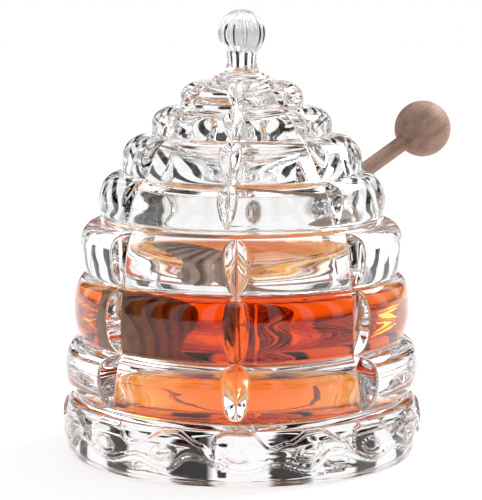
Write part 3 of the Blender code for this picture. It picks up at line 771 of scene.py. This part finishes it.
def makeDipper():
    v = dipperValues
    tip, shoulder = alongDipper("dipper_head")
    length = shoulder - tip
    rows = [(0.0, tip), (v["headRadius"] * v["endShare"] * 0.6, tip)]

    def radiusAt(share):
        end = v["headRadius"] * v["endShare"]
        return end + (v["headRadius"] - end) * sin(pi * share) ** v["fullness"]

    for disc in range(v["discs"]):
        low = (disc + (v["grooveShare"] / 2 if disc else 0)) / v["discs"]
        high = (disc + 1 - (v["grooveShare"] / 2 if disc < v["discs"] - 1 else 0)) / v["discs"]
        lowAlong, highAlong = tip + length * low, tip + length * high
        edge = v["edge"]
        for t in range(0, 91, 30):
            rows.append((radiusAt(low) - edge + edge * sin(radians(t)), lowAlong + edge - edge * cos(radians(t))))
        for t in range(90, -1, -30):
            rows.append((
                radiusAt(high) - edge + edge * sin(radians(t)), highAlong - edge + edge * cos(radians(t)),
            ))
        if disc < v["discs"] - 1:
            core = radiusAt((disc + 1) / v["discs"]) - v["groove"]
            nextLow = tip + length * (disc + 1 + v["grooveShare"] / 2) / v["discs"]
            rows += [(core + 0.3 * mm, highAlong), (core, highAlong + 0.3 * mm)]
            rows += [(core, nextLow - 0.3 * mm), (core + 0.3 * mm, nextLow)]
    rows += [(v["handle"] * 1.2, shoulder), (0.0, shoulder)]
    turnedWood("dipper_head_turned", "dipper_head", rows, 96)

    low, high = alongDipper("dipper_handle")
    rod, edge = v["handle"], v["handleEdge"]
    turnedWood("dipper_dowel", "dipper_handle", [
        (0.0, low), (rod - edge, low), (rod, low + edge), (rod, (low + high) / 2),
        (rod, high - edge), (rod - edge, high), (0.0, high),
    ], 48)

    ball = (ballHigh.x - ballLow.x) / 2
    flat = asin(min((v["handle"] + 0.5 * mm) / ball, 1.0))
    rows = [(0.0, -ball * cos(flat))]
    for i in range(41):
        turn = flat + (pi - flat) * i / 40
        rows.append((max(ball * sin(turn), 0.0) if i < 40 else 0.0, -ball * cos(turn)))
    turnedWood("dipper_ball", "dipper_knob", rows, 80)


makeDipper()
print("dipper made")


# floor, world and lamp: white ground and background, soft light from behind on the right

def flagMask(tree, parts, windowDeg):
    # 1 on the dark flags and 0 in the windows between them, by the turn round the jar
    turn = addNode(tree, "ShaderNodeMath", {0: parts["X"], 1: parts["Y"]}, operation="ARCTAN2").outputs[0]
    half = pi / stageValues["flags"]
    wrapped = addNode(tree, "ShaderNodeMath", {0: turn, 1: half, 2: -half}, operation="WRAP").outputs[0]
    away = addNode(tree, "ShaderNodeMath", {0: wrapped}, operation="ABSOLUTE").outputs[0]
    return addNode(tree, "ShaderNodeMapRange", {
        "Value": away, "From Min": radians(windowDeg), "From Max": radians(windowDeg + stageValues["softDeg"]),
    }).outputs[0]


def makeStage():
    mesh = bpy.data.meshes.new("floor")
    reach = stageValues["reach"]
    corners = [(-reach, -reach, 0), (reach, -reach, 0), (reach, reach, 0), (-reach, reach, 0)]
    mesh.from_pydata(corners, [], [(0, 1, 2, 3)])
    floor = bpy.data.objects.new("floor", mesh)
    scene.collection.objects.link(floor)
    floor.location.z = -stageValues["footGap"]
    material, tree, shader = newMaterial("whiteTable")
    shader.inputs["Base Color"].default_value = linear(stageValues["table"])
    shader.inputs["Roughness"].default_value = 0.6
    path = addNode(tree, "ShaderNodeLightPath")
    seen = addNode(tree, "ShaderNodeMath", {
        0: path.outputs["Is Camera Ray"], 1: path.outputs["Is Glossy Ray"],
    }, operation="MAXIMUM")
    seen = addNode(tree, "ShaderNodeMath", {
        0: seen.outputs[0], 1: path.outputs["Is Transmission Ray"],
    }, operation="MAXIMUM")
    glow = addNode(tree, "ShaderNodeMath", {0: seen.outputs[0], 1: stageValues["floorGlow"]}, operation="MULTIPLY")
    white = addNode(tree, "ShaderNodeEmission", {"Color": linear("#FFFFFF"), "Strength": glow.outputs[0]})
    both = addNode(tree, "ShaderNodeAddShader", {0: shader.outputs[0], 1: white.outputs[0]})
    # dark cards lie round the jar between the windows, and only glass that bends them into view shows them
    place = addNode(tree, "ShaderNodeTexCoord").outputs["Object"]
    parts = addNode(tree, "ShaderNodeSeparateXYZ", {0: place}).outputs
    card = flagMask(tree, parts, stageValues["windowDeg"])
    reached = addNode(tree, "ShaderNodeVectorMath", {0: place}, operation="LENGTH").outputs["Value"]
    far = addNode(tree, "ShaderNodeMapRange", {
        "Value": reached, "From Min": stageValues["cardsFrom"], "From Max": stageValues["cardsFrom"] * 1.1,
    }).outputs[0]
    card = addNode(tree, "ShaderNodeMath", {0: card, 1: far}, operation="MULTIPLY").outputs[0]
    card = addNode(tree, "ShaderNodeMath", {
        0: card, 1: path.outputs["Is Transmission Ray"],
    }, operation="MULTIPLY").outputs[0]
    black = addNode(tree, "ShaderNodeEmission", {"Color": linear(stageValues["flagColor"])})
    carded = addNode(tree, "ShaderNodeMixShader", {0: card, 1: both.outputs[0], 2: black.outputs[0]})
    tree.links.new(carded.outputs[0], tree.nodes["Material Output"].inputs["Surface"])
    mesh.materials.append(material)


def makeWorld():
    world = bpy.data.worlds.new("studio")
    scene.world = world
    world.use_nodes = True
    tree = world.node_tree
    tree.nodes.clear()
    v = stageValues
    path = addNode(tree, "ShaderNodeLightPath")
    toward = addNode(tree, "ShaderNodeTexCoord").outputs["Generated"]
    parts = addNode(tree, "ShaderNodeSeparateXYZ", {0: toward}).outputs
    dark = flagMask(tree, parts, v["windowDeg"])
    low = addNode(tree, "ShaderNodeMapRange", {
        "Value": parts["Z"], "From Min": sin(radians(v["flagTopDeg"])),
        "From Max": sin(radians(v["flagTopDeg"] + v["flagTopSoftDeg"])), "To Min": 1.0, "To Max": 0.0,
    }).outputs[0]
    flags = addNode(tree, "ShaderNodeMath", {0: dark, 1: low}, operation="MULTIPLY").outputs[0]
    studio = addNode(tree, "ShaderNodeMix", {
        0: flags, 6: linear("#FFFFFF"), 7: linear(v["flagColor"]),
    }, data_type="RGBA").outputs[2]
    # what glass and gloss mirror: a dim room with tall bright windows between the flags
    windows = flagMask(tree, parts, v["mirrorDeg"])
    room = addNode(tree, "ShaderNodeMix", {
        0: windows, 6: linear(v["mirrorLight"]), 7: linear(v["mirrorDark"]),
    }, data_type="RGBA").outputs[2]
    mirrored = addNode(tree, "ShaderNodeMix", {
        0: path.outputs["Is Transmission Ray"], 6: room, 7: studio,
    }, data_type="RGBA").outputs[2]
    bent = addNode(tree, "ShaderNodeMath", {
        0: path.outputs["Is Glossy Ray"], 1: path.outputs["Is Transmission Ray"],
    }, operation="MAXIMUM").outputs[0]
    lit = addNode(tree, "ShaderNodeMix", {
        0: bent, 6: linear(v["ambient"]), 7: mirrored,
    }, data_type="RGBA").outputs[2]
    shown = addNode(tree, "ShaderNodeMix", {
        0: path.outputs["Is Camera Ray"], 6: lit, 7: linear("#FFFFFF"),
    }, data_type="RGBA").outputs[2]
    ground = addNode(tree, "ShaderNodeBackground", {"Color": shown, "Strength": 1.0})
    addNode(tree, "ShaderNodeOutputWorld", {"Surface": ground.outputs[0]})


def addLamp(name, place, size, power, color="#FFFFFF"):
    data = bpy.data.lights.new(name, "AREA")
    data.size = size
    data.energy = power
    data.color = linear(color)[:3]
    lamp = bpy.data.objects.new(name, data)
    lamp.location = place
    target = Vector((0.0, 0.0, 0.08))
    lamp.rotation_euler = (target - Vector(place)).to_track_quat("-Z", "Y").to_euler()
    scene.collection.objects.link(lamp)


stageValues = {
    "floorGlow": 0.65, "flags": 16, "windowDeg": 6.0, "softDeg": 1.5, "flagTopDeg": 78.0,
    "flagTopSoftDeg": 8.0, "cardsFrom": 0.25, "reach": 3.0, "footGap": 0.1 * mm, "table": "#E9E6E6",
    "flagColor": "#0A0A0C", "ambient": "#B4B6BA",
    "mirrorDeg": 3.5, "mirrorLight": "#FFFFFF", "mirrorDark": "#2A2A2C",
}
makeStage()
makeWorld()
addLamp("keyLamp", place=(0.55, 0.45, 0.7), size=0.45, power=6.0)

scene.view_settings.view_transform = "Standard"
scene.cycles.max_bounces = 40
scene.cycles.transmission_bounces = 36
scene.cycles.glossy_bounces = 8
scene.cycles.diffuse_bounces = 3
